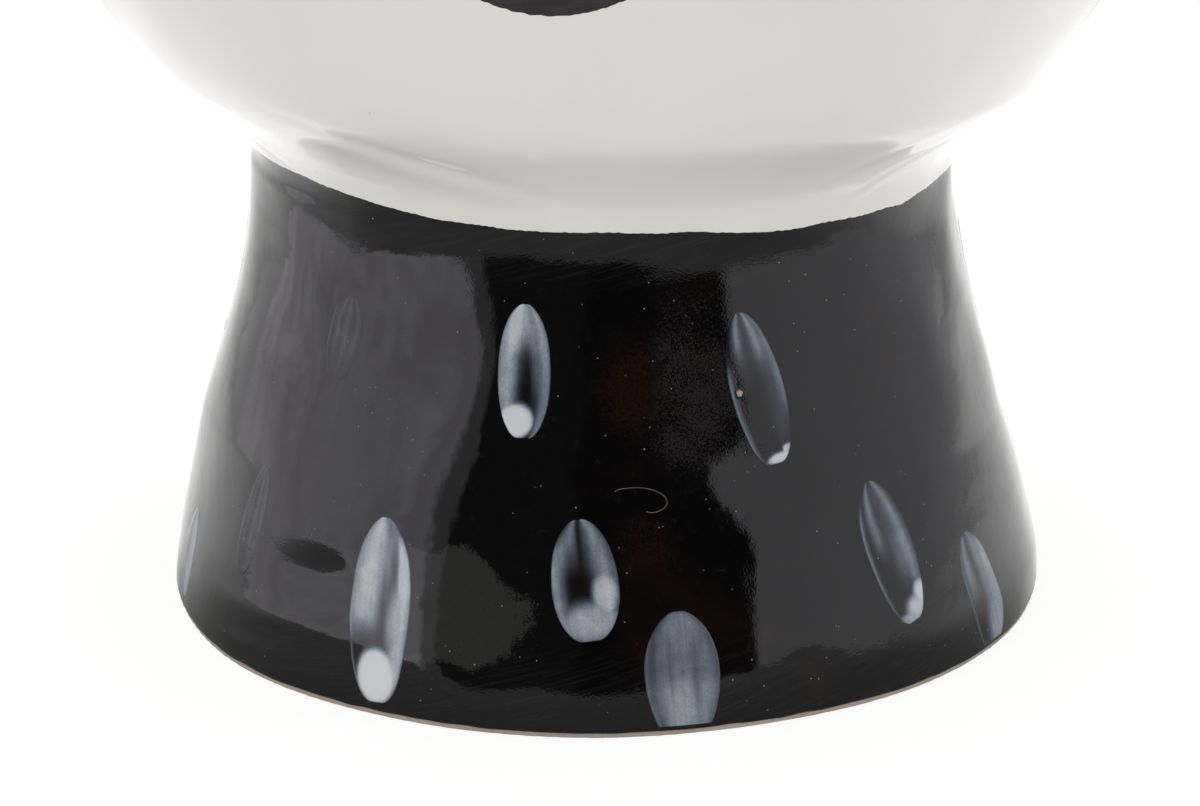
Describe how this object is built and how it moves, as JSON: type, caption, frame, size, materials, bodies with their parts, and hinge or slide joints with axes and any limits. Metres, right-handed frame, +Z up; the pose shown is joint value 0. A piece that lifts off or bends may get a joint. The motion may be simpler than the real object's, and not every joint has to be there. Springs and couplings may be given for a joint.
{
  "type": "face vase",
  "caption": "Glazed ceramic flower vase: a round white head with a calm painted face on a flared black foot, open at a black collar, with white brush daubs.",
  "frame": {"origin": "centre of the flat underside of the base slab", "axes": "+Z up through the foot, the head and the mouth; the face looks along -Y and its own left side is at +X"},
  "size_m": [0.2356, 0.2297, 0.3009],
  "materials": {
    "white_glaze": "gloss",
    "black_glaze": "gloss",
    "inner_glaze": "gloss",
    "black_paint": "gloss",
    "white_slip": "gloss",
    "bare_clay": "matte"
  },
  "bodies": {
    "root": {"base_slab": "bare_clay", "foot_wall": "black_glaze", "foot_coil": "inner_glaze", "neck_coil": "inner_glaze", "head_bowl": "white_glaze", "equator_coil": "inner_glaze", "head_dome": "white_glaze", "collar_coil": "inner_glaze", "mouth_collar": "black_glaze", "rim_coil": "black_glaze", "nose": "white_glaze", "ear_left": "white_glaze", "ear_right": "white_glaze", "foot_daubs": "white_slip", "collar_daubs": "white_slip", "lower_lip": "black_paint", "upper_lip": "black_paint", "upper_lash_left": "black_paint", "lower_lash_left": "black_paint", "iris_left": "black_paint", "brow_left": "black_paint", "upper_lash_right": "black_paint", "lower_lash_right": "black_paint", "iris_right": "black_paint", "brow_right": "black_paint"}
  },
  "joints": []
}
